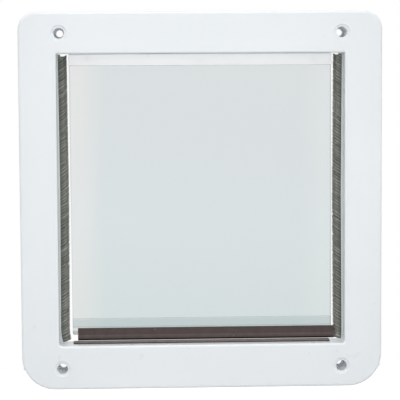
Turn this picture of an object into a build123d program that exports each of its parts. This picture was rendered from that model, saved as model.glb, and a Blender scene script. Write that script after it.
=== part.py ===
from build123d import *
import os
from math import cos, radians, sin, tan

os.makedirs("parts", exist_ok=True)

# A dog flap for a door: a moulded frame, a clear soft flap that is clamped along its top,
# two magnet strips that hold it shut, and a pile seal down each side.
# Millimetres. X runs to the right as seen from the front, -Y faces the viewer, +Z is up.
# The origin is the middle of the four fixing holes, on the plane of the frame's back.

# Flange, the part that covers the edge of the hole in the door
flange_width = 300.0
flange_height = 313.0
top_corner_radius = 15.0
bottom_corner_radius = 27.5
front_edge_radius = 2.4
face_thickness = 3.0
rim_depth = 7.0
rim_thickness = 2.5

# Tunnel, the part that reaches into the door
overall_depth = 25.5
side_margin = 31.1
top_margin = 34.4
bottom_margin = 36.6
opening_top_radius = 1.0
opening_bottom_radius = 2.5
lip_radius = 1.7
tunnel_wall = 2.6

# Stiffening ribs behind the flange
stiffener_thickness = 1.8
stiffener_setback = 0.8
stiffeners_across = 5
stiffeners_up = 5

# Fixing holes for the screws that draw the frame to the door
fixing_margin_x = 33.5
fixing_margin_z = 17.5
fixing_hole_diameter = 5.7
fixing_recess_diameter = 8.8
fixing_floor_thickness = 2.5
fixing_ring_diameter = 13.4
fixing_ring_slope_width = 0.8
fixing_ring_depth = 0.9
post_wall = 2.2

# Flap, a clear soft sheet with two thicker bands along its lower edge
flap_thickness = 3.0
flap_setback = 14.0
flap_left_lean = 0.8
flap_right_lean = 0.1
flap_corner_radius = 1.5
band_thickness = 1.0
lower_band_height = 3.0
band_spacing = 3.3
upper_band_height = 7.0

# Clamp at the top of the flap: a bar in front and a rib of the frame behind
bar_height = 9.6
bar_thickness = 3.5
bar_edge_radius = 0.4
clamp_rib_thickness = 2.6
ceiling_clearance = 0.2
bend_clearance = 0.3
clamped_edge_reveal = 0.15

# Screws through the clamp, put in from behind
clamp_screw_count = 3
clamp_screw_end_margin = 15.2
clamp_screw_diameter = 2.9
clamp_screw_clearance = 0.1
clamp_screw_head_diameter = 5.6
clamp_screw_head_height = 1.7
clamp_screw_cover = 0.5
drive_slot_length = 3.2
drive_slot_width = 0.8
drive_slot_depth = 1.0

# Magnet strips, one on the flap and one on the sill
magnet_shortfall = 3.0
magnet_width = 10.5
flap_magnet_thickness = 2.0
flap_magnet_overlap = 5.8
flap_magnet_shift = 3.8
flap_magnet_chamfer = 1.5
sill_magnet_thickness = 1.2
sill_magnet_setback = 10.4
sill_magnet_chamfer = 0.3
magnet_gap = 1.4

# Pile seals down the sides: a stiff backing with slanted tufts on it, bowed a little inwards
seal_setback = 12.0
seal_depth = 7.0
seal_bow = 0.7
backing_top_gap = 0.4
pile_top_gap = 1.8
backing_thickness = 1.1
pile_height = 7.1
pile_clearance = 0.9
pile_magnet_clearance = 0.35
left_seal_bottom_gap = 1.0
right_seal_bottom_gap = 1.7
left_curl_angle = 16.0
right_curl_angle = 8.0
curl_radius = 43.0
tuft_spacing = 3.0
tuft_base_height = 2.8
tuft_slit_width = 1.0
tuft_slit_overrun = 0.4
tuft_angle = 35.0

# Places worked out from the sizes above
opening_width = flange_width - 2 * side_margin
opening_height = flange_height - top_margin - bottom_margin
opening_top = flange_height / 2 - top_margin
opening_bottom = opening_top - opening_height
opening_middle = (opening_top + opening_bottom) / 2
wall_inside = opening_width / 2
fixing_spacing_x = flange_width - 2 * fixing_margin_x
fixing_spacing_z = flange_height - 2 * fixing_margin_z
pile_tip = wall_inside - backing_thickness - pile_height
flap_width = 2 * (pile_tip - seal_bow - pile_clearance)
magnet_length = flap_width - magnet_shortfall
clamp_screw_spacing = (flap_width - 2 * clamp_screw_end_margin) / (clamp_screw_count - 1)
bar_top = opening_top - ceiling_clearance
bar_bottom = bar_top - bar_height
bar_middle = (bar_top + bar_bottom) / 2
bend_height = bar_bottom - bend_clearance - flap_thickness / 2
flap_rear_depth = flap_setback + flap_thickness
rib_rear_depth = flap_rear_depth + clamp_rib_thickness
bar_hole_depth = bar_thickness - clamp_screw_cover
sill_magnet_top = opening_bottom + sill_magnet_thickness
flap_magnet_bottom = sill_magnet_top + magnet_gap
flap_magnet_top = flap_magnet_bottom + magnet_width
flap_bottom = flap_magnet_top - flap_magnet_overlap
lower_band_top = flap_bottom + lower_band_height
upper_band_bottom = lower_band_top + band_spacing
seal_top = opening_top - backing_top_gap
pile_top = opening_top - pile_top_gap
tuft_slit_reach = pile_height - tuft_base_height + seal_bow + tuft_slit_overrun
tuft_slit_rise = tuft_slit_reach * tan(radians(tuft_angle))


def y_at(depth):
    """The Y value at a depth behind the front face."""
    return depth - overall_depth


def plane_at(depth, height=0.0):
    """A sketch plane that faces the front, at a depth behind the front face and a height."""
    return Plane(origin=(0, y_at(depth), height), x_dir=(1, 0, 0), z_dir=(0, -1, 0))


def draw_panel(sketch, width, height, top_radius, bottom_radius):
    """Draws a rectangle with its own corner radius at the top and at the bottom."""
    Rectangle(width, height)
    fillet(sketch.vertices().group_by(Axis.Y)[-1], top_radius)
    fillet(sketch.vertices().group_by(Axis.Y)[0], bottom_radius)


def flange_face(depth, inset):
    """The flange's outline at a depth, moved in by the inset."""
    with BuildSketch(plane_at(depth)) as outline:
        draw_panel(
            outline,
            flange_width - 2 * inset,
            flange_height - 2 * inset,
            top_corner_radius - inset,
            bottom_corner_radius - inset,
        )
    return outline.sketch


def opening_face(depth, outset):
    """The opening's outline at a depth, moved out by the outset."""
    with BuildSketch(plane_at(depth, opening_middle)) as outline:
        draw_panel(
            outline,
            opening_width + 2 * outset,
            opening_height + 2 * outset,
            opening_top_radius + outset,
            opening_bottom_radius + outset,
        )
    return outline.sketch


def clamp_screw_places():
    """The row of clamp screws, along the middle of the clamp."""
    return GridLocations(clamp_screw_spacing, 0, clamp_screw_count, 1)


# Frame: flange, rim, tunnel, screw posts, stiffeners and clamp rib in one moulding
with BuildPart() as frame:
    extrude(flange_face(rim_depth, 0), amount=rim_depth)
    front_face = frame.faces().sort_by(Axis.Y)[0]
    fillet(front_face.outer_wire().edges(), front_edge_radius)
    extrude(flange_face(rim_depth, rim_thickness), amount=rim_depth - face_thickness, mode=Mode.SUBTRACT)
    extrude(opening_face(overall_depth, tunnel_wall), amount=overall_depth - face_thickness)

    with BuildSketch(plane_at(rim_depth - stiffener_setback)) as stiffeners:
        with GridLocations(fixing_spacing_x / (stiffeners_across - 1), 0, stiffeners_across, 1):
            Rectangle(stiffener_thickness, flange_height - rim_thickness)
        with GridLocations(0, fixing_spacing_z / (stiffeners_up - 1), 1, stiffeners_up):
            Rectangle(flange_width - rim_thickness, stiffener_thickness)
    extrude(amount=rim_depth - stiffener_setback - face_thickness)

    with BuildSketch(plane_at(overall_depth)) as posts:
        with GridLocations(fixing_spacing_x, fixing_spacing_z, 2, 2):
            Circle(fixing_recess_diameter / 2 + post_wall)
    extrude(amount=overall_depth - face_thickness)

    extrude(opening_face(overall_depth, 0), amount=overall_depth, mode=Mode.SUBTRACT)
    front_face = frame.faces().sort_by(Axis.Y)[0]
    fillet(front_face.inner_wires()[0].edges(), lip_radius)

    with Locations(plane_at(0)):
        with GridLocations(fixing_spacing_x, fixing_spacing_z, 2, 2):
            CounterBoreHole(
                radius=fixing_hole_diameter / 2,
                counter_bore_radius=fixing_recess_diameter / 2,
                counter_bore_depth=overall_depth - fixing_floor_thickness,
                depth=overall_depth,
            )
            Cone(
                bottom_radius=fixing_ring_diameter / 2 - fixing_ring_slope_width,
                top_radius=fixing_ring_diameter / 2,
                height=fixing_ring_depth,
                align=(Align.CENTER, Align.CENTER, Align.MAX),
                mode=Mode.SUBTRACT,
            )

    with BuildSketch(plane_at(rib_rear_depth, (opening_top + bar_bottom) / 2)) as clamp_rib:
        Rectangle(flap_width, opening_top - bar_bottom)
    extrude(amount=clamp_rib_thickness)
    with Locations(plane_at(flap_rear_depth, bar_middle)):
        with clamp_screw_places():
            Hole(radius=clamp_screw_diameter / 2 + clamp_screw_clearance, depth=clamp_rib_thickness)

frame.part.label = "frame"
export_step(frame.part, "parts/frame.step")

# Clamp bar: holds the flap's upper edge from the front
with BuildPart() as clamp_bar:
    with BuildSketch(plane_at(flap_setback, bar_middle)) as bar_face:
        Rectangle(flap_width, bar_height)
    extrude(amount=bar_thickness)
    fillet(clamp_bar.faces().sort_by(Axis.Y)[0].edges(), bar_edge_radius)
    with BuildSketch(plane_at(flap_setback, bar_middle)) as bar_holes:
        with clamp_screw_places():
            Circle(clamp_screw_diameter / 2 + clamp_screw_clearance)
    extrude(amount=bar_hole_depth, mode=Mode.SUBTRACT)

clamp_bar.part.label = "clamp_bar"
export_step(clamp_bar.part, "parts/clamp_bar.step")

# The flap's upper edge, which the clamp holds still
with BuildPart() as flap_clamped_edge:
    clamped_edge_bottom = bar_bottom - clamped_edge_reveal
    with BuildSketch(plane_at(flap_rear_depth, (bar_top + clamped_edge_bottom) / 2)) as edge_face:
        Rectangle(flap_width, bar_top - clamped_edge_bottom)
    extrude(amount=flap_thickness)
    with Locations(plane_at(flap_setback, bar_middle)):
        with clamp_screw_places():
            Hole(radius=clamp_screw_diameter / 2 + clamp_screw_clearance, depth=flap_thickness)

flap_clamped_edge.part.label = "flap_clamped_edge"
export_step(flap_clamped_edge.part, "parts/flap_clamped_edge.step")

# The flap below the clamp: its section along X, trimmed to its outline from the front
with BuildPart() as flap:
    with BuildSketch(Plane.YZ) as flap_section:
        with Locations((y_at(flap_setback + flap_thickness / 2), (bend_height + flap_bottom) / 2)):
            Rectangle(flap_thickness, bend_height - flap_bottom)
        with Locations((y_at(flap_setback + flap_thickness / 2), bend_height)):
            Circle(flap_thickness / 2)
        with Locations((y_at(flap_rear_depth), flap_bottom)):
            Rectangle(band_thickness, lower_band_height, align=(Align.MIN, Align.MIN))
        with Locations((y_at(flap_rear_depth), upper_band_bottom)):
            Rectangle(band_thickness, upper_band_height, align=(Align.MIN, Align.MIN))
    extrude(amount=flap_width, both=True)
    with BuildSketch(plane_at(overall_depth)) as flap_outline:
        Polygon(
            (-flap_width / 2, bar_top),
            (flap_width / 2, bar_top),
            (flap_width / 2 + flap_right_lean, flap_bottom),
            (-flap_width / 2 + flap_left_lean, flap_bottom),
            align=None,
        )
        fillet(flap_outline.vertices().group_by(Axis.Y)[0], flap_corner_radius)
    extrude(amount=overall_depth, mode=Mode.INTERSECT)

flap.part.label = "flap"
export_step(flap.part, "parts/flap.step")

# Magnet strip on the front of the flap's lower edge, with a bevel along its bottom
with BuildPart() as flap_magnet:
    with BuildSketch(Plane.YZ.offset(flap_magnet_shift - magnet_length / 2)) as magnet_section:
        with Locations((y_at(flap_setback), flap_magnet_bottom)):
            Rectangle(flap_magnet_thickness, magnet_width, align=(Align.MAX, Align.MIN))
        chamfer(magnet_section.vertices().group_by(Axis.Y)[0].sort_by(Axis.X)[0], flap_magnet_chamfer)
    extrude(amount=magnet_length)

flap_magnet.part.label = "flap_magnet"
export_step(flap_magnet.part, "parts/flap_magnet.step")

# Magnet strip that lies on the sill
with BuildPart() as sill_magnet:
    with BuildSketch(Plane.YZ.offset(-magnet_length / 2)) as sill_section:
        with Locations((y_at(sill_magnet_setback), opening_bottom)):
            Rectangle(magnet_width, sill_magnet_thickness, align=(Align.MIN, Align.MIN))
        chamfer(sill_section.vertices().group_by(Axis.Y)[-1], sill_magnet_chamfer)
    extrude(amount=magnet_length)

sill_magnet.part.label = "sill_magnet"
export_step(sill_magnet.part, "parts/sill_magnet.step")


def build_clamp_screw(x):
    """A screw with a round head and a cross slot, pointing to the front, at a place along the clamp."""
    axis_line = Axis((x, 0, bar_middle), (0, 1, 0))
    head_seat = y_at(rib_rear_depth)
    head_top = head_seat + clamp_screw_head_height
    tip = y_at(flap_setback - bar_hole_depth + clamp_screw_clearance)
    with BuildPart() as screw:
        with BuildSketch(Plane(origin=(x, 0, bar_middle), x_dir=(0, 1, 0), z_dir=(1, 0, 0))):
            with BuildLine():
                Polyline(
                    (tip, 0),
                    (tip, clamp_screw_diameter / 2),
                    (head_seat, clamp_screw_diameter / 2),
                    (head_seat, clamp_screw_head_diameter / 2),
                    (head_top, clamp_screw_head_diameter / 2),
                    (head_top, 0),
                    close=True,
                )
            make_face()
        revolve(axis=axis_line)
        with BuildSketch(Plane(origin=(x, head_top, bar_middle), x_dir=(1, 0, 0), z_dir=(0, -1, 0))):
            Rectangle(drive_slot_length, drive_slot_width)
            Rectangle(drive_slot_width, drive_slot_length)
        extrude(amount=drive_slot_depth, mode=Mode.SUBTRACT)
    return screw.part


# Clamp screws, numbered from the left as seen from the front
for number in range(clamp_screw_count):
    screw_x = (number - (clamp_screw_count - 1) / 2) * clamp_screw_spacing
    clamp_screw = build_clamp_screw(screw_x)
    clamp_screw.label = f"clamp_screw_{number + 1}"
    export_step(clamp_screw, f"parts/clamp_screw_{number + 1}.step")


def seal_edge(side, distance, low):
    """A seal's long edge: straight where it lies on the wall, and bent a little inwards off the wall."""
    x = side * (wall_inside - distance)
    if distance == 0:
        Line((x, low), (x, seal_top))
    else:
        Polyline((x, low), (x - side * seal_bow, (low + seal_top) / 2), (x, seal_top))


def seal_face(side, near, far, bottom_gap, curl_angle):
    """A strip that runs down a side wall, between two distances from it, and curls in at its foot."""
    curl = radians(curl_angle)
    curl_height = opening_bottom + bottom_gap + curl_radius * sin(curl)
    middle = (side * (wall_inside - curl_radius), curl_height)
    near_radius = curl_radius - near
    far_radius = curl_radius - far
    start_angle = 90 * (1 - side)
    near_foot = (middle[0] + side * near_radius * cos(curl), curl_height - near_radius * sin(curl))
    far_foot = (middle[0] + side * far_radius * cos(curl), curl_height - far_radius * sin(curl))
    with BuildSketch(plane_at(seal_setback + seal_depth)) as strip:
        with BuildLine():
            seal_edge(side, near, curl_height)
            Line((side * (wall_inside - near), seal_top), (side * (wall_inside - far), seal_top))
            seal_edge(side, far, curl_height)
            CenterArc(middle, far_radius, start_angle, -side * curl_angle)
            Line(far_foot, near_foot)
            CenterArc(middle, near_radius, start_angle, -side * curl_angle)
        make_face()
    return strip.sketch


def build_backing(side, bottom_gap, curl_angle):
    """The stiff strip of a seal, on the side wall. Its top corner is cut off to clear the tunnel's corner."""
    with BuildPart() as backing:
        strip = seal_face(side, 0, backing_thickness, bottom_gap, curl_angle)
        extrude(strip, amount=seal_depth)
        top_corners = backing.edges().filter_by(Axis.Y).group_by(Axis.Z)[-1]
        to_wall = Axis((0, 0, 0), (side, 0, 0))
        chamfer(top_corners.sort_by(to_wall)[-1], opening_top_radius - backing_top_gap)
    return backing.part


def build_pile(side, bottom_gap, curl_angle):
    """The tufts of a seal: slanted wedges part them, and the flap magnet's end presses them back."""
    lowest_slit = flap_magnet_top + pile_magnet_clearance + tuft_spacing / 2
    slit_count = int((pile_top - tuft_slit_rise - lowest_slit) / tuft_spacing)
    slit_x = side * (pile_tip + pile_height - tuft_base_height)
    pile_far = backing_thickness + pile_height
    with BuildPart() as pile:
        strip = seal_face(side, backing_thickness, pile_far, bottom_gap, curl_angle)
        extrude(strip, amount=seal_depth)
        with BuildSketch(plane_at(seal_setback + seal_depth)) as cuts:
            with Locations((0, pile_top)):
                Rectangle(opening_width, seal_top - pile_top, align=(Align.CENTER, Align.MIN))
            with Locations((flap_magnet_shift, (flap_magnet_top + flap_magnet_bottom) / 2)):
                Rectangle(magnet_length + 2 * pile_magnet_clearance, magnet_width + 2 * pile_magnet_clearance)
            for slit in range(slit_count):
                with Locations((slit_x, lowest_slit + slit * tuft_spacing)):
                    Polygon(
                        (0, 0),
                        (-side * tuft_slit_reach, tuft_slit_rise + tuft_slit_width / 2),
                        (-side * tuft_slit_reach, tuft_slit_rise - tuft_slit_width / 2),
                        align=None,
                    )
        extrude(amount=seal_depth, mode=Mode.SUBTRACT)
    return pile.part


# Pile seals, left and right as seen from the front
for name, side, bottom_gap, curl_angle in (
    ("left", -1, left_seal_bottom_gap, left_curl_angle),
    ("right", 1, right_seal_bottom_gap, right_curl_angle),
):
    seal_backing = build_backing(side, bottom_gap, curl_angle)
    seal_backing.label = f"{name}_seal_backing"
    export_step(seal_backing, f"parts/{name}_seal_backing.step")
    seal_pile = build_pile(side, bottom_gap, curl_angle)
    seal_pile.label = f"{name}_seal_pile"
    export_step(seal_pile, f"parts/{name}_seal_pile.step")
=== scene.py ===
"""Dresses the dog flap: moulded frame, clear flap with closer rows below its clamp for a bend, magnets and
pile seals.
"""

import math
import random

import bmesh
import bpy
from mathutils import Matrix, Vector


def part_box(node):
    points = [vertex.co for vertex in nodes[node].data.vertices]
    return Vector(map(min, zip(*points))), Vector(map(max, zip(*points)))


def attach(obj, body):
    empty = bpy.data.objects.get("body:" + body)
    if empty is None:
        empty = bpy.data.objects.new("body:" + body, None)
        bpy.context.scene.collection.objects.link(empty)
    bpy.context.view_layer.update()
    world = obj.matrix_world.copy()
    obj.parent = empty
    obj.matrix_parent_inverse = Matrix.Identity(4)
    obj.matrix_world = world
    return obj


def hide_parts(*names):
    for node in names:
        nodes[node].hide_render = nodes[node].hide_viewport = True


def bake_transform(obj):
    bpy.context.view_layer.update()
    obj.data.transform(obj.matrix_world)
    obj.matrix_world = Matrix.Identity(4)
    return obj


mm = 0.001
quarter_turn = math.radians(90)

# Camera, as it stood for the photograph: it looks a little down and a little to the right
camera_place = (-0.0551, -1.3642, 0.1079)
camera_yaw = math.radians(-2.298)
camera_pitch = math.radians(-4.558)
camera_roll = math.radians(0.327)
camera_lens = 146.22
camera_sensor = 36
camera_near = 0.05
camera_far = 50

# Light: a world that is brighter from above, and soft lamps in front, above, behind and to each side
world_level = 0.485
world_slope = 0.392
world_colour = (1.0, 0.968, 0.943)
front_lamp_place = (0.0, -0.65, 0.06)
front_lamp_power = 1.635
top_lamp_place = (0.0, -0.5, 1.4)
top_lamp_power = 5.67
back_lamp_place = (0.0, 0.8, 0.3)
back_lamp_power = 1.31
side_lamp_place = (1.1, -0.4, 0.12)
side_lamp_power = 1.0
lamp_size = 0.35
lamp_colour = (1.0, 0.968, 0.943)

# Floor, seen as plain white
floor_height = -0.42
floor_size = 3.0
floor_sides = 64
floor_tone = 0.5
floor_glow = 0.85

# Flap sheet, with the CAD flap's bands: its lower corners lean to the right, each by its own amount
flap_left_lean = 0.8 * mm
flap_right_lean = 0.1 * mm
bend_length = 12 * mm
bend_rows = 14
plain_rows = 10
lower_band_height = 3.0 * mm
band_spacing = 3.3 * mm
upper_band_height = 7.0 * mm
sheet_corner_radius = 1.5 * mm
sheet_edge_radius = 0.2 * mm
sheet_edge_angle = math.radians(40)
clamp_play = 0.02 * mm
screw_hole_radius = 1.55 * mm
screw_hole_sides = 24

# Edges that are rounded here
round_segments = 2
round_profile = 0.5
soft_edge_angle = math.radians(60)
screw_edge_radius = 0.15 * mm
magnet_edge_radius = 0.4 * mm

# Pile seals: tufts of slanted fibres in rows on a backing, which bows inwards and curls at its foot
backing_thickness = 1.1 * mm
left_pile_height = 7.45 * mm
right_pile_height = 7.15 * mm
seal_bow = 0.7 * mm
curl_radius = 43 * mm
left_curl = math.radians(16)
right_curl = math.radians(8)
core_share = 0.5
core_inset = 0.5 * mm
core_rows = 40
# The core's place in the fibre map: a middle tone, far down in the painted root shade
core_chart = (0.3, 0.1)

# Tufts: every other row is paler, and each tuft has its own place, slant and shade
tuft_pitch = 1.25 * mm
tufts_deep = 4
tuft_place = (0.3, 0.7)
tuft_slant_spread = math.radians(3)
tuft_draw = 0.35
tuft_shade_share = 0.75
row_shade_share = 0.5
left_seed = 11
right_seed = 23

# Fibres: blades that bend at their middle and fan out towards their tips
fibres_per_tuft = 25
fibre_width = 0.3 * mm
fibre_taper = 0.85
fibre_corners = 3
fibre_slant = math.radians(35)
fibre_slant_at_foot = math.radians(3)
foot_length = 12 * mm
fibre_slant_spread = math.radians(2)
fibre_middle_rise = 0.45
tip_unevenness = 0.5 * mm
pile_fan = 1.2
magnet_room = 0.35 * mm

# Notch at a pile's top, where fibres end lower: the shares of their length where it starts and ends,
# and the height of its ceiling above the CAD pile
left_notch = (0.3, 0.78, 0.0)
right_notch = (0.4, 0.75, 0.5 * mm)
trim_steps = 16

# Shader settings, by the names of their sockets
plastic_shader = {"Subsurface Weight": 0.4, "Subsurface Radius": (1.0, 1.0, 1.0), "Subsurface Scale": 4 * mm}
sheet_shader = {"Roughness": 0.12, "Transmission Weight": 1.0, "IOR": 1.45}
flap_magnet_shader = {"Roughness": 0.38}
sill_magnet_shader = {"Roughness": 0.7}
screw_shader = {"Roughness": 0.34, "Metallic": 1.0}
tape_shader = {"Roughness": 0.75}
fibre_shader = {"Roughness": 0.8, "Sheen Weight": 0.15}

# Patterns in the colour and the gloss
flow_marks = {"per_metre": 9.0, "detail": 2.0}
gloss_patches = {"per_metre": 60.0, "detail": 3.0}
gloss_least = 0.24
gloss_spread = 0.12
rubber_mottle = {"per_metre": 160.0, "detail": 4.0}
dust_specks = {"per_metre": 700.0, "detail": 1.0}
zinc_patches = {"per_metre": 500.0, "detail": 3.0}
weave_scale = 420.0

# Relief in the shading alone
plastic_grain = {"per_metre": 2600.0, "detail": 3.0, "height": 0.04 * mm, "strength": 0.35}
sheet_ripple = {"per_metre": 22.0, "detail": 2.0, "height": 0.3 * mm, "strength": 0.15}
rubber_grain = {"per_metre": 1400.0, "detail": 3.0, "height": 0.08 * mm, "strength": 0.4}
zinc_grain = {"per_metre": 3000.0, "detail": 2.0, "height": 0.03 * mm, "strength": 0.4}
weave_relief = {"height": 0.12 * mm, "strength": 0.6}

# Colours along a pattern or a map: each stop has its place from 0 to 1 and its colour
frame_tones = ((0.35, (0.739, 0.793, 0.836)), (0.65, (0.755, 0.808, 0.852)))
# The clamp bar is the frame's white plastic, painted lighter as painted light where the lip above shades it
bar_tones_painted_lighter = ((0.35, (0.885, 0.935, 0.98)), (0.65, (0.9, 0.95, 0.99)))
zinc_tones = ((0.3, (0.5, 0.5, 0.52)), (0.7, (0.68, 0.68, 0.7)))
tape_tones = ((0.0, (0.44, 0.48, 0.48)), (1.0, (0.606, 0.66, 0.67)))
fibre_tones = ((0.0, (0.11, 0.12, 0.106)), (0.5, (0.26, 0.28, 0.25)), (1.0, (0.517, 0.54, 0.499)))
# Painted shade along each fibre: dark at the root, deep in the pile, and plain from its middle on
root_painted_shade = ((0.0, (0.45, 0.45, 0.45)), (0.5, (1.0, 1.0, 1.0)))
mottle_tones = ((0.3, (0.7, 0.68, 0.68)), (0.7, (1.08, 1.08, 1.08)))
dust_cover = ((0.775, (0.0, 0.0, 0.0)), (0.8, (1.0, 1.0, 1.0)))
dust_colour = (0.5, 0.47, 0.45)

# Rubber, up the height of each magnet: the flap's has a painted shadow at its foot and a painted highlight
# line, and the sill's has a painted sheen on top
rubber = (0.042, 0.0255, 0.024)
painted_highlight_rubber = (0.073, 0.051, 0.052)
painted_sheen_rubber = (0.19, 0.16, 0.156)
painted_shadow_rubber = (0.005, 0.003, 0.003)
flap_magnet_tones = (
    # painted shadow at the foot, in the gap above the sill magnet
    (0.14, painted_shadow_rubber),
    (0.16, rubber),
    # painted highlight across the lower part of the magnet's face
    (0.4, painted_highlight_rubber),
    (0.45, painted_highlight_rubber),
    (0.47, rubber),
)
# The sill magnet's top is a painted sheen
sill_magnet_tones = ((0.0, rubber), (0.7, rubber), (0.85, painted_sheen_rubber))

# Tint across the sheet with painted light and shade: painted shade at the cut edge, painted light on the
# pale left side, the tint in the middle, painted light on the slightly paler right side, painted shade at
# the other cut edge
sheet_tint_and_painted_light_across = (
    (0.0, (0.6, 0.62, 0.62)),
    (0.006, (0.77, 0.785, 0.785)),
    (0.045, (0.77, 0.785, 0.785)),
    (0.13, (0.7, 0.75, 0.76)),
    (0.88, (0.7, 0.745, 0.755)),
    (0.96, (0.725, 0.765, 0.77)),
    (0.995, (0.725, 0.765, 0.77)),
    (1.0, (0.6, 0.62, 0.62)),
)

# Tint up the sheet: lower band, gap, upper band, plain sheet
sheet_tones_up = (
    (0.0, (0.6, 0.62, 0.61)),
    (0.012, (0.6, 0.62, 0.61)),
    (0.0135, (0.88, 0.93, 0.92)),
    (0.026, (0.88, 0.93, 0.92)),
    (0.0275, (0.735, 0.79, 0.785)),
    (0.055, (0.755, 0.81, 0.805)),
    (0.058, (0.94, 0.97, 0.96)),
    (0.4, (0.985, 1.0, 1.0)),
    (1.0, (1.0, 0.985, 0.985)),
)

# Sockets of a Mix node for colours
mix_share = 0
mix_first = 6
mix_second = 7
mix_result = 2

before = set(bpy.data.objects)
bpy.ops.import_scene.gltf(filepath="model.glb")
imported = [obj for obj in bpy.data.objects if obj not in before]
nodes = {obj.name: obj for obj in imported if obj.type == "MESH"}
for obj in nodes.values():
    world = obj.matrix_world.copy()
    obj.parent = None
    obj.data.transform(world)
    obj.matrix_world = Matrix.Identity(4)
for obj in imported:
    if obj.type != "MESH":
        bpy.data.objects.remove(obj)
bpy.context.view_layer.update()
screw_names = [name for name in nodes if name.startswith("clamp_screw_")]


def add_camera():
    """The photograph's camera."""
    data = bpy.data.cameras.new("camera")
    data.sensor_width = camera_sensor
    data.lens = camera_lens
    data.clip_start = camera_near
    data.clip_end = camera_far
    camera = bpy.data.objects.new("camera", data)
    turn = Matrix.Rotation(camera_yaw, 4, "Z") @ Matrix.Rotation(camera_pitch, 4, "X")
    turn = turn @ Matrix.Rotation(camera_roll, 4, "Y") @ Matrix.Rotation(quarter_turn, 4, "X")
    camera.matrix_world = Matrix.Translation(camera_place) @ turn
    bpy.context.collection.objects.link(camera)
    bpy.context.scene.camera = camera


def add_lamp(name, place, power, in_gloss=True):
    """A soft square lamp that faces the object. It isn't seen itself, and in_gloss lets gloss show it."""
    data = bpy.data.lights.new(name, "AREA")
    data.shape = "SQUARE"
    data.size = lamp_size
    data.energy = power
    data.color = lamp_colour
    lamp = bpy.data.objects.new(name, data)
    lamp.location = place
    lamp.rotation_euler = (-Vector(place)).to_track_quat("-Z", "Y").to_euler()
    lamp.visible_camera = False
    lamp.visible_glossy = in_gloss
    lamp.visible_transmission = False
    bpy.context.collection.objects.link(lamp)


def add_lamps():
    """The lamps in front, above, behind and to each side."""
    add_lamp("front_lamp", front_lamp_place, front_lamp_power, in_gloss=False)
    add_lamp("top_lamp", top_lamp_place, top_lamp_power)
    add_lamp("back_lamp", back_lamp_place, back_lamp_power, in_gloss=False)
    x, y, z = side_lamp_place
    add_lamp("left_lamp", (-x, y, z), side_lamp_power)
    add_lamp("right_lamp", (x, y, z), side_lamp_power)


def larger(tree, first, second):
    """The larger of two values."""
    node = tree.nodes.new("ShaderNodeMath")
    node.operation = "MAXIMUM"
    tree.links.new(first, node.inputs[0])
    tree.links.new(second, node.inputs[1])
    return node.outputs[0]


def scaled(tree, value, factor, offset=0.0):
    """A value times a factor, plus an offset."""
    node = tree.nodes.new("ShaderNodeMath")
    node.operation = "MULTIPLY_ADD"
    tree.links.new(value, node.inputs[0])
    node.inputs[1].default_value = factor
    node.inputs[2].default_value = offset
    return node.outputs[0]


def axis_values(tree, vector):
    """A vector's parts by axis."""
    node = tree.nodes.new("ShaderNodeSeparateXYZ")
    tree.links.new(vector, node.inputs[0])
    return node.outputs


def seen_directly(tree):
    """A value that is 1 where the camera sees a thing itself, in a reflection or through the flap."""
    path = tree.nodes.new("ShaderNodeLightPath")
    seen = larger(tree, path.outputs["Is Camera Ray"], path.outputs["Is Glossy Ray"])
    return larger(tree, seen, path.outputs["Is Transmission Ray"])


def add_world():
    """Soft light that is brighter from above, and plain white where the background itself is seen."""
    world = bpy.data.worlds.new("studio")
    world.use_nodes = True
    bpy.context.scene.world = world
    tree = world.node_tree
    tree.nodes.clear()
    direction = tree.nodes.new("ShaderNodeTexCoord")
    up = axis_values(tree, direction.outputs["Generated"])["Z"]
    light = tree.nodes.new("ShaderNodeBackground")
    light.inputs["Color"].default_value = (*world_colour, 1)
    tree.links.new(scaled(tree, up, world_slope, world_level), light.inputs["Strength"])
    white = tree.nodes.new("ShaderNodeBackground")
    white.inputs["Strength"].default_value = 1.0
    white.inputs["Color"].default_value = (1.0, 1.0, 1.0, 1)
    mix = tree.nodes.new("ShaderNodeMixShader")
    output = tree.nodes.new("ShaderNodeOutputWorld")
    tree.links.new(seen_directly(tree), mix.inputs["Fac"])
    tree.links.new(light.outputs[0], mix.inputs[1])
    tree.links.new(white.outputs[0], mix.inputs[2])
    tree.links.new(mix.outputs[0], output.inputs["Surface"])


def add_floor():
    """A round pale floor below the object, which takes its shadow and otherwise shows white."""
    mesh = bpy.data.meshes.new("floor")
    shape = bmesh.new()
    bmesh.ops.create_circle(shape, cap_ends=True, segments=floor_sides, radius=floor_size / 2)
    shape.to_mesh(mesh)
    shape.free()
    floor = bpy.data.objects.new("floor", mesh)
    floor.location = (0, 0, floor_height)
    bpy.context.collection.objects.link(floor)
    material = bpy.data.materials.new("floor_white")
    material.use_nodes = True
    tree = material.node_tree
    tree.nodes.clear()
    paint = tree.nodes.new("ShaderNodeBsdfDiffuse")
    paint.inputs["Color"].default_value = (floor_tone, floor_tone, floor_tone, 1)
    glow = tree.nodes.new("ShaderNodeEmission")
    tree.links.new(scaled(tree, seen_directly(tree), floor_glow), glow.inputs["Strength"])
    both = tree.nodes.new("ShaderNodeAddShader")
    output = tree.nodes.new("ShaderNodeOutputMaterial")
    tree.links.new(paint.outputs[0], both.inputs[0])
    tree.links.new(glow.outputs[0], both.inputs[1])
    tree.links.new(both.outputs[0], output.inputs["Surface"])
    mesh.materials.append(material)


def new_material(name, settings):
    """A material with one Principled shader, which has the settings given: (material, tree, shader)."""
    material = bpy.data.materials.new(name)
    material.use_nodes = True
    tree = material.node_tree
    shader = tree.nodes["Principled BSDF"]
    for socket, value in settings.items():
        shader.inputs[socket].default_value = value
    return material, tree, shader


def object_place(tree):
    """The place on the object in metres."""
    return tree.nodes.new("ShaderNodeTexCoord").outputs["Object"]


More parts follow.
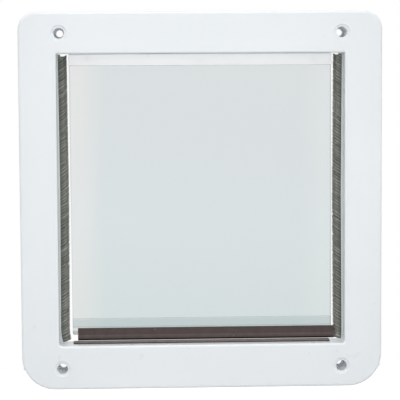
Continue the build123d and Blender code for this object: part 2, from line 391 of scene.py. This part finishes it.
def chart_values(tree, name):
    """The two values that a map holds, as X and Y."""
    chart = tree.nodes.new("ShaderNodeUVMap")
    chart.uv_map = name
    return axis_values(tree, chart.outputs[0])


def noise(tree, place, per_metre, detail):
    """Soft random values over a place."""
    node = tree.nodes.new("ShaderNodeTexNoise")
    node.inputs["Scale"].default_value = per_metre
    node.inputs["Detail"].default_value = detail
    tree.links.new(place, node.inputs["Vector"])
    return node.outputs["Fac"]


def ramp(tree, value, stops):
    """Colours along a value, given as (position, colour)."""
    node = tree.nodes.new("ShaderNodeValToRGB")
    elements = node.color_ramp.elements
    while len(elements) < len(stops):
        elements.new(0.5)
    for element, (position, colour) in zip(elements, stops):
        element.position = position
        element.color = (*colour, 1)
    tree.links.new(value, node.inputs["Fac"])
    return node.outputs["Color"]


def add_relief(tree, values, shader, height, strength):
    """Raises the surface by a pattern of values."""
    node = tree.nodes.new("ShaderNodeBump")
    node.inputs["Distance"].default_value = height
    node.inputs["Strength"].default_value = strength
    tree.links.new(values, node.inputs["Height"])
    tree.links.new(node.outputs["Normal"], shader.inputs["Normal"])


def add_grain(tree, place, shader, per_metre, detail, height, strength):
    """Raises the surface by fine random values."""
    add_relief(tree, noise(tree, place, per_metre, detail), shader, height, strength)


def multiplied(tree, first, second):
    """Two colours multiplied."""
    node = tree.nodes.new("ShaderNodeMix")
    node.data_type = "RGBA"
    node.blend_type = "MULTIPLY"
    node.inputs[mix_share].default_value = 1.0
    tree.links.new(first, node.inputs[mix_first])
    tree.links.new(second, node.inputs[mix_second])
    return node.outputs[mix_result]


def covered(tree, share, colour, cover):
    """A colour under a share of a plain one."""
    node = tree.nodes.new("ShaderNodeMix")
    node.data_type = "RGBA"
    tree.links.new(share, node.inputs[mix_share])
    tree.links.new(colour, node.inputs[mix_first])
    node.inputs[mix_second].default_value = (*cover, 1)
    return node.outputs[mix_result]


def white_plastic(name, tones):
    """Moulded plastic: a fine even grain, faint flow marks between two tones and a satin shine."""
    material, tree, shader = new_material(f"white_plastic_{name}", plastic_shader)
    place = object_place(tree)
    colour = ramp(tree, noise(tree, place, **flow_marks), tones)
    tree.links.new(colour, shader.inputs["Base Color"])
    gloss = scaled(tree, noise(tree, place, **gloss_patches), gloss_spread, gloss_least)
    tree.links.new(gloss, shader.inputs["Roughness"])
    add_grain(tree, place, shader, **plastic_grain)
    return material


def clear_sheet():
    """Clear soft sheet with a faint cool tint, darker in its bands; painted light makes it paler down its
    two sides, and painted shade darkens its cut edges.
    """
    material, tree, shader = new_material("clear_sheet_tinted", sheet_shader)
    chart = chart_values(tree, "sheet")
    across = ramp(tree, chart["X"], sheet_tint_and_painted_light_across)
    up = ramp(tree, chart["Y"], sheet_tones_up)
    tree.links.new(multiplied(tree, across, up), shader.inputs["Base Color"])
    add_grain(tree, object_place(tree), shader, **sheet_ripple)
    return material


def magnet_rubber(name, settings, tones):
    """Brown rubber with a fine grain and a little pale dust. Its tones, with painted shade and light, run up
    the height of the node.
    """
    material, tree, shader = new_material(f"{name}_rubber", settings)
    place = object_place(tree)
    low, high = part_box(name)
    up = axis_values(tree, place)["Z"]
    height = scaled(tree, up, 1 / (high.z - low.z), -low.z / (high.z - low.z))
    mottle = ramp(tree, noise(tree, place, **rubber_mottle), mottle_tones)
    colour = multiplied(tree, ramp(tree, height, tones), mottle)
    dust = ramp(tree, noise(tree, place, **dust_specks), dust_cover)
    tree.links.new(covered(tree, dust, colour, dust_colour), shader.inputs["Base Color"])
    add_grain(tree, place, shader, **rubber_grain)
    return material


def screw_steel():
    """Zinc plated steel with a faint grain."""
    material, tree, shader = new_material("screw_zinc", screw_shader)
    place = object_place(tree)
    colour = ramp(tree, noise(tree, place, **zinc_patches), zinc_tones)
    tree.links.new(colour, shader.inputs["Base Color"])
    add_grain(tree, place, shader, **zinc_grain)
    return material


def seal_tape():
    """Stiff woven tape: fine threads across and along."""
    material, tree, shader = new_material("seal_tape_woven", tape_shader)
    place = object_place(tree)
    threads = []
    for direction in ("Y", "Z"):
        wave = tree.nodes.new("ShaderNodeTexWave")
        wave.bands_direction = direction
        wave.inputs["Scale"].default_value = weave_scale
        tree.links.new(place, wave.inputs["Vector"])
        threads.append(wave.outputs["Fac"])
    weave = larger(tree, *threads)
    tree.links.new(ramp(tree, weave, tape_tones), shader.inputs["Base Color"])
    add_relief(tree, weave, shader, **weave_relief)
    return material


def seal_fibre():
    """Grey-green pile fibre: each fibre has its own tone, and painted shade darkens it towards its root."""
    material, tree, shader = new_material("seal_pile_fibre", fibre_shader)
    chart = chart_values(tree, "fibre")
    shade = ramp(tree, chart["X"], fibre_tones)
    # painted shade towards the root
    depth = ramp(tree, chart["Y"], root_painted_shade)
    tree.links.new(multiplied(tree, shade, depth), shader.inputs["Base Color"])
    return material


def link_mesh(name, shape, material):
    """Makes an object of a bmesh shape, with one material."""
    mesh = bpy.data.meshes.new(name)
    shape.to_mesh(mesh)
    shape.free()
    mesh.materials.append(material)
    piece = bpy.data.objects.new(name, mesh)
    bpy.context.collection.objects.link(piece)
    return piece


def sheet_section(front, rear, band_rear, top, clamp_end, bottom):
    """The sheet's section as (y, z) points: down the front, then up the back over the two bands."""
    lower_top = bottom + lower_band_height
    upper_bottom = lower_top + band_spacing
    upper_top = upper_bottom + upper_band_height
    bend_end = clamp_end - bend_length
    heights = [clamp_end - bend_length * row / bend_rows for row in range(bend_rows + 1)]
    plain = bend_end - upper_top
    heights += [bend_end - plain * (row + 1) / plain_rows for row in range(plain_rows)]
    down = [(front + clamp_play, top), (front + clamp_play, clamp_end + clamp_play)]
    down += [(front, height) for height in heights]
    down += [(front, lower_top), (front, bottom)]
    up = [(band_rear, bottom), (band_rear, lower_top), (rear, lower_top)]
    up += [(rear, upper_bottom), (band_rear, upper_bottom), (band_rear, upper_top)]
    up += [(rear, height) for height in reversed(heights)]
    up += [(rear - clamp_play, clamp_end + clamp_play), (rear - clamp_play, top)]
    return down + up


def chart_by_place(piece, name, low, high):
    """Gives a piece a map that runs from 0 to 1 across its width and its height."""
    mesh = piece.data
    layer = mesh.uv_layers.new(name=name)
    for loop in mesh.loops:
        point = mesh.vertices[loop.vertex_index].co
        across = (point.x - low.x) / (high.x - low.x)
        layer.data[loop.index].uv = (across, (point.z - low.z) / (high.z - low.z))


def cut_screw_holes(sheet, front, rear):
    """Cuts the clamp screws' holes through the sheet."""
    shape = bmesh.new()
    for name in screw_names:
        low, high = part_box(name)
        middle = (low + high) / 2
        place = Matrix.Translation((middle.x, (front + rear) / 2, middle.z))
        bmesh.ops.create_cone(
            shape,
            cap_ends=True,
            segments=screw_hole_sides,
            radius1=screw_hole_radius,
            radius2=screw_hole_radius,
            depth=2 * (rear - front),
            matrix=place @ Matrix.Rotation(quarter_turn, 4, "X"),
        )
    cutter = link_mesh("screw_hole_cutter", shape, sheet.data.materials[0])
    cut = sheet.modifiers.new("screw_holes", "BOOLEAN")
    cut.operation = "DIFFERENCE"
    cut.object = cutter
    result = sheet.evaluated_get(bpy.context.evaluated_depsgraph_get())
    finished = bpy.data.meshes.new_from_object(result)
    sheet.modifiers.clear()
    sheet.data = finished
    bpy.data.objects.remove(cutter)


def add_flap_sheet(material):
    """The whole flap in one sheet: held in the clamp at its top, with closer rows just below it for a bend.
    """
    held_low, held_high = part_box("flap_clamped_edge")
    free_low, free_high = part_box("flap")
    bar_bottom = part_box("clamp_bar")[0].z
    section = sheet_section(held_low.y, held_high.y, free_high.y, held_high.z, bar_bottom, free_low.z)
    drop = held_high.z - free_low.z
    radius = sheet_corner_radius
    insets = (0.0, radius / 3, radius)
    stations = [(-1, inset) for inset in insets] + [(1, inset) for inset in reversed(insets)]
    shape = bmesh.new()
    rings = []
    for side, inset in stations:
        lean = flap_left_lean if side < 0 else flap_right_lean
        lift = radius - math.sqrt(radius**2 - (radius - inset) ** 2)
        ring = []
        for y, z in section:
            x = side * (held_high.x - inset) + lean * (held_high.z - z) / drop
            ring.append(shape.verts.new((x, y, max(z, free_low.z + lift))))
        rings.append(ring)
    for near, far in zip(rings, rings[1:]):
        for index in range(len(section)):
            shape.faces.new((near[index - 1], near[index], far[index], far[index - 1]))
    shape.faces.new(reversed(rings[0]))
    shape.faces.new(rings[-1])
    bmesh.ops.recalc_face_normals(shape, faces=shape.faces)
    sharp = [edge for edge in shape.edges if edge.calc_face_angle(0) > sheet_edge_angle]
    bmesh.ops.bevel(
        shape,
        geom=sharp,
        offset=sheet_edge_radius,
        segments=round_segments,
        profile=round_profile,
        affect="EDGES",
    )
    sheet = link_mesh("flap_sheet", shape, material)
    cut_screw_holes(sheet, held_low.y, held_high.y)
    low = Vector((-held_high.x, 0, free_low.z))
    chart_by_place(sheet, "sheet", low, held_high)
    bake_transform(sheet)
    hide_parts("flap", "flap_clamped_edge")


def seal_path(side, wall, foot, top, curl):
    """A function that gives X and Z, a way up from the seal's foot and a way in from the wall."""
    curl_length = curl_radius * curl
    curl_top = foot + curl_radius * math.sin(curl)
    half_height = (top - curl_top) / 2

    def at(along, inward):
        turn = max(0.0, (curl_length - along) / curl_radius)
        rise = max(0.0, along - curl_length)
        bow = seal_bow * max(0.0, 1 - abs(rise / half_height - 1))
        reach = curl_radius - inward
        x = side * (wall - curl_radius - bow + reach * math.cos(turn))
        return x, curl_top + rise - reach * math.sin(turn)

    return at


def add_core(shape, chart, at, front, rear, length, height):
    """The dense inside of a pile, which follows the seal's backing and stops short of the pile's top."""
    near = backing_thickness
    far = near + height * core_share
    rings = []
    for row in range(core_rows + 1):
        ring = []
        for inward, y in ((near, front), (far, front), (far, rear), (near, rear)):
            x, z = at(length * row / core_rows, inward)
            ring.append(shape.verts.new((x, y, z)))
        rings.append(ring)
    for low, high in zip(rings, rings[1:]):
        for index in range(len(low)):
            shape.faces.new((low[index - 1], low[index], high[index], high[index - 1]))
    shape.faces.new(rings[0])
    shape.faces.new(reversed(rings[-1]))
    for face in shape.faces:
        for loop in face.loops:
            loop[chart].uv = core_chart


def trim_share(z_root, z_tip, low_limit, high_limit, notch):
    """The share of a fibre's length that stays under the ceiling, which is lower in the notch."""
    for step in range(1, trim_steps + 1):
        share = step / trim_steps
        in_notch = notch[0] < share < notch[1]
        if z_root + (z_tip - z_root) * share > (low_limit if in_notch else high_limit):
            return (step - 1) / trim_steps
    return 1.0


def beside_magnet(magnet, x, y, z):
    """X and Z of a fibre's tip, which moves out and up where it would touch the flap's magnet."""
    low, high = magnet
    limit = high.x + magnet_room
    level = low.z - magnet_room < z < high.z + magnet_room
    if level and y < high.y + magnet_room and x < limit:
        return limit, z + (limit - x)
    return x, z


def add_fibre(shape, chart, root, middle, tip, shade):
    """One fibre: a blade from its root over its middle to a point."""
    rings = []
    for place, width in ((root, fibre_width), (middle, fibre_width * fibre_taper)):
        ring = []
        for corner in range(fibre_corners):
            angle = corner * math.tau / fibre_corners
            across = width / 2 * math.cos(angle)
            up = width / 2 * math.sin(angle)
            ring.append(shape.verts.new((place[0], place[1] + across, place[2] + up)))
        rings.append(ring)
    point = shape.verts.new(tip)
    low, high = rings
    for corner in range(fibre_corners):
        side = shape.faces.new((low[corner - 1], low[corner], high[corner], high[corner - 1]))
        end = shape.faces.new((high[corner - 1], high[corner], point))
        for face, lengths in ((side, (0, 0, 0.5, 0.5)), (end, (0.5, 0.5, 1))):
            for loop, length in zip(face.loops, lengths):
                loop[chart].uv = (shade, length)


def add_pile(name, side, height, curl, notch, material, seed):
    """A seal's pile: a dense core, and rows of tufts of fine slanted fibres over it."""
    chance = random.Random(seed)
    pile_low, pile_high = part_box(f"{name}_seal_pile")
    back_low, back_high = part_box(f"{name}_seal_backing")
    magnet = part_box("flap_magnet")
    wall = max(abs(back_low.x), abs(back_high.x))
    foot = back_low.z
    length = back_high.z - foot
    at = seal_path(side, wall, foot, back_high.z, curl)
    centre_y = (pile_low.y + pile_high.y) / 2
    tuft_depth = (pile_high.y - pile_low.y) / tufts_deep
    shape = bmesh.new()
    chart = shape.loops.layers.uv.new("fibre")
    core_length = length - height * math.tan(fibre_slant)
    core_front = pile_low.y + core_inset
    core_rear = pile_high.y - core_inset
    add_core(shape, chart, at, core_front, core_rear, core_length, height)
    for row in range(math.ceil(length / tuft_pitch)):
        for column in range(tufts_deep):
            tuft_along = (row + 0.5 * (column % 2) + chance.uniform(*tuft_place)) * tuft_pitch
            tuft_y = pile_low.y + (column + 0.5) * tuft_depth
            tuft_shade = row_shade_share * (row % 2) + (1 - row_shade_share) * chance.random()
            tuft_slant = chance.gauss(0, tuft_slant_spread)
            foot_share = min(1.0, tuft_along / foot_length)
            base_slant = fibre_slant_at_foot + (fibre_slant - fibre_slant_at_foot) * foot_share
            for _ in range(fibres_per_tuft):
                offset = chance.uniform(-0.5, 0.5) * tuft_pitch
                along = min(length, max(0.0, tuft_along + offset))
                y = tuft_y + chance.uniform(-0.5, 0.5) * (tuft_depth - fibre_width)
                reach = height - chance.random() ** 2 * tip_unevenness
                slant = base_slant + tuft_slant + chance.gauss(0, fibre_slant_spread)
                rise = reach * math.tan(slant) - offset * tuft_draw
                shade = tuft_shade_share * tuft_shade + (1 - tuft_shade_share) * chance.random()
                root_x, root_z = at(along, backing_thickness)
                tip_x, tip_z = at(along + rise, backing_thickness + reach)
                if side > 0:
                    tip_x, tip_z = beside_magnet(magnet, tip_x, y, tip_z)
                kept = trim_share(root_z, tip_z, pile_high.z + notch[2], back_high.z, notch)
                if kept == 0:
                    continue
                tip_x = root_x + (tip_x - root_x) * kept
                tip_y = centre_y + (y - centre_y) * (1 + (pile_fan - 1) * kept)
                tip_z = root_z + (tip_z - root_z) * kept
                middle_z = root_z + (tip_z - root_z) * fibre_middle_rise
                middle = ((root_x + tip_x) / 2, (y + tip_y) / 2, middle_z)
                add_fibre(shape, chart, (root_x, y, root_z), middle, (tip_x, tip_y, tip_z), shade)
    bmesh.ops.recalc_face_normals(shape, faces=shape.faces)
    pile = link_mesh(f"{name}_pile", shape, material)
    for polygon in pile.data.polygons:
        polygon.use_smooth = True
    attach(pile, "frame")
    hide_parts(f"{name}_seal_pile")


def soften_edges(piece, radius):
    """Rounds a piece's sharp edges a little."""
    bevel = piece.modifiers.new("soft_edges", "BEVEL")
    bevel.width = radius
    bevel.segments = round_segments
    bevel.limit_method = "ANGLE"
    bevel.angle_limit = soft_edge_angle


def dress(material, *names):
    """Gives CAD nodes a material, in the slot that they have."""
    for name in names:
        nodes[name].data.materials[0] = material


add_camera()
add_world()
add_lamps()
add_floor()

dress(white_plastic("frame", frame_tones), "frame")
# the bar's tones are painted light, lighter than the frame's
dress(white_plastic("bar", bar_tones_painted_lighter), "clamp_bar")
dress(magnet_rubber("flap_magnet", flap_magnet_shader, flap_magnet_tones), "flap_magnet")
dress(magnet_rubber("sill_magnet", sill_magnet_shader, sill_magnet_tones), "sill_magnet")
dress(screw_steel(), *screw_names)
dress(seal_tape(), "left_seal_backing", "right_seal_backing")
for name in screw_names:
    soften_edges(nodes[name], screw_edge_radius)
for name in ("flap_magnet", "sill_magnet"):
    soften_edges(nodes[name], magnet_edge_radius)

add_flap_sheet(clear_sheet())
fibre_material = seal_fibre()
add_pile("left", -1, left_pile_height, left_curl, left_notch, fibre_material, left_seed)
add_pile("right", 1, right_pile_height, right_curl, right_notch, fibre_material, right_seed)

bpy.context.scene.view_settings.view_transform = "Standard"
